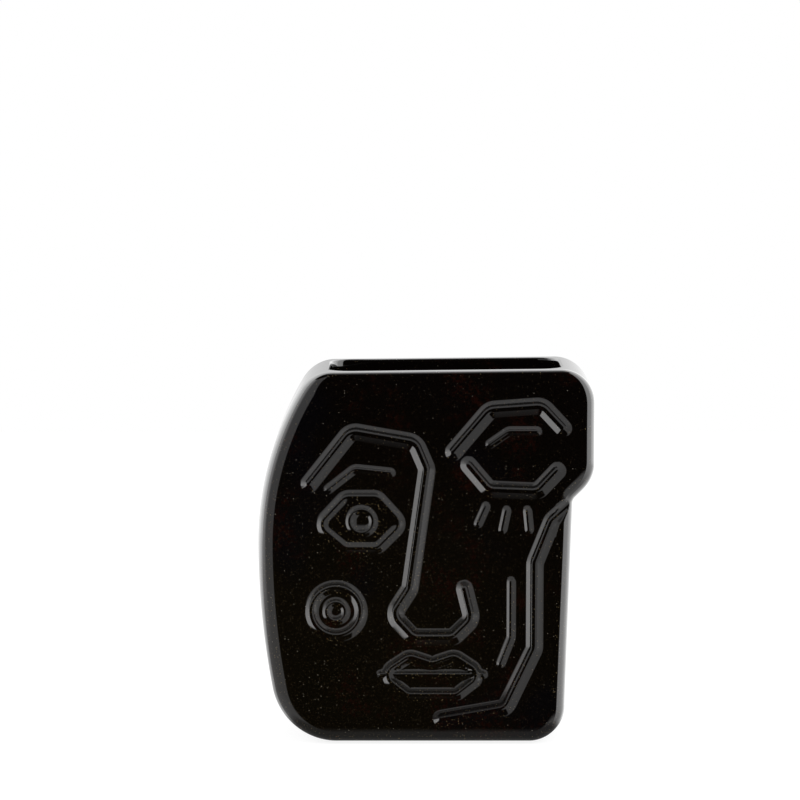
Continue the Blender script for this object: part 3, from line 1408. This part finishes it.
def floor_material(s, st):
    """A pale floor, white to the camera but for the vase's shadow. Gloss sees it only close by the vase."""
    material = bpy.data.materials.new("pale_floor")
    tree = new_tree(material)
    seen = node(tree, "ShaderNodeLightPath", output="Is Camera Ray")
    gloss = seen.other("Is Glossy Ray")
    paper = node(tree, "ShaderNodeBsdfDiffuse", inputs={"Color": grey(st.floor_shade)})
    faint = node(tree, "ShaderNodeBsdfDiffuse", inputs={"Color": grey(st.shadow_shade)})
    glow = node(tree, "ShaderNodeEmission", inputs={"Color": grey(1), "Strength": st.shadow_glow})
    shown = node(tree, "ShaderNodeAddShader", inputs=[glow, faint])
    clear = node(tree, "ShaderNodeBsdfTransparent")
    dim = node(tree, "ShaderNodeEmission", inputs={"Color": grey(1), "Strength": st.near_level})
    x, y, _ = separated(node(tree, "ShaderNodeTexCoord", output="Object"))
    past_x = (x.math("ABSOLUTE") - (s.width / 2 * MM - st.near_inset)).math("MAXIMUM", 0.0)
    past_y = (y.math("ABSOLUTE") - s.depth / 2 * MM).math("MAXIMUM", 0.0)
    near, far = (st.near_reach * (1 + way * st.near_softness) for way in (-1, 1))
    away = (past_x ** 2.0 + past_y ** 2.0).root().step(near, far)
    mirrored = node(tree, "ShaderNodeMixShader", inputs=[away, dim, clear])
    lit = node(tree, "ShaderNodeMixShader", inputs=[seen, paper, shown])
    put_out("ShaderNodeOutputMaterial", node(tree, "ShaderNodeMixShader", inputs=[gloss, lit, mirrored]))
    return material


# Where the soft lamps stand, mirrored for the left one, and the point that they shine on
LAMP_PLACE = (0.9, -0.5, 0.8)
LAMP_AIM = (0, 0, 0.1)

# The camera's sensor, in millimetres
SENSOR = 36.0


def lamp(name, side, st):
    """A soft square lamp on one side, which gloss doesn't show."""
    light = bpy.data.lights.new(name, "AREA")
    light.size = st.lamp_size
    light.energy = st.lamp_power
    made = new_piece(name, light)
    made.location = (side * LAMP_PLACE[0], *LAMP_PLACE[1:])
    made.rotation_euler = (Vector(LAMP_AIM) - made.location).to_track_quat("-Z", "Y").to_euler()
    made.visible_glossy = False
    made.visible_camera = False


class VASE_OT_studio(Operator):
    """Set up the floor, the light and the camera"""

    bl_idname = "vase.studio"
    bl_label = "Studio"

    def execute(self, context):
        st = context.scene.vase_studio
        scene = context.scene
        scene.view_settings.view_transform = "Standard"
        scene.world = studio_world(st)
        mesh = bpy.data.meshes.new("floor")
        r = st.floor_size
        mesh.from_pydata([(-r, -r, 0), (r, -r, 0), (r, r, 0), (-r, r, 0)], [], [(0, 1, 2, 3)])
        mesh.materials.append(floor_material(shape(), st))
        new_piece("floor", mesh)
        lamp("left_soft_lamp", -1, st)
        lamp("right_soft_lamp", 1, st)
        camera = new_piece("camera", bpy.data.cameras.new("camera"))
        camera.data.lens = st.lens
        camera.data.sensor_width = SENSOR
        camera.location = st.camera_place
        camera.rotation_euler = (pi / 2 - st.camera_pitch, 0, 0)
        scene.camera = camera
        return {"FINISHED"}


class VASE_PT_sidebar(Panel):
    """The vase's pieces and sizes"""

    bl_label = "Face Vase"
    bl_space_type = "VIEW_3D"
    bl_region_type = "UI"
    bl_category = "Face Vase"

    def draw(self, context):
        layout = self.layout
        for operator in STEPS:
            layout.operator(operator.bl_idname)
        for name in GROUPS:
            group = getattr(context.scene, name)
            box = layout.box()
            for prop in group.__annotations__:
                box.prop(group, prop)


GROUPS = {
    "vase_shape": VaseShape,
    "vase_carving": VaseCarving,
    "vase_finish": VaseFinish,
    "vase_studio": VaseStudio,
}
STEPS = [VASE_OT_outer_glaze, VASE_OT_liner_glaze, VASE_OT_clay, VASE_OT_studio]
CLASSES = [*GROUPS.values(), *STEPS, VASE_PT_sidebar]


def register():
    """Makes the add-on's classes and settings known."""
    for cls in CLASSES:
        bpy.utils.register_class(cls)
    for name, group in GROUPS.items():
        setattr(bpy.types.Scene, name, PointerProperty(type=group))


def unregister():
    """Takes them away again."""
    for name in GROUPS:
        delattr(bpy.types.Scene, name)
    for cls in reversed(CLASSES):
        bpy.utils.unregister_class(cls)


def main():
    """Makes the vase and its studio, and writes down both boxes."""
    register()
    bpy.ops.vase.outer_glaze()
    bpy.ops.vase.liner_glaze()
    bpy.ops.vase.clay()
    bpy.ops.vase.studio()


if __name__ == "__main__":
    main()
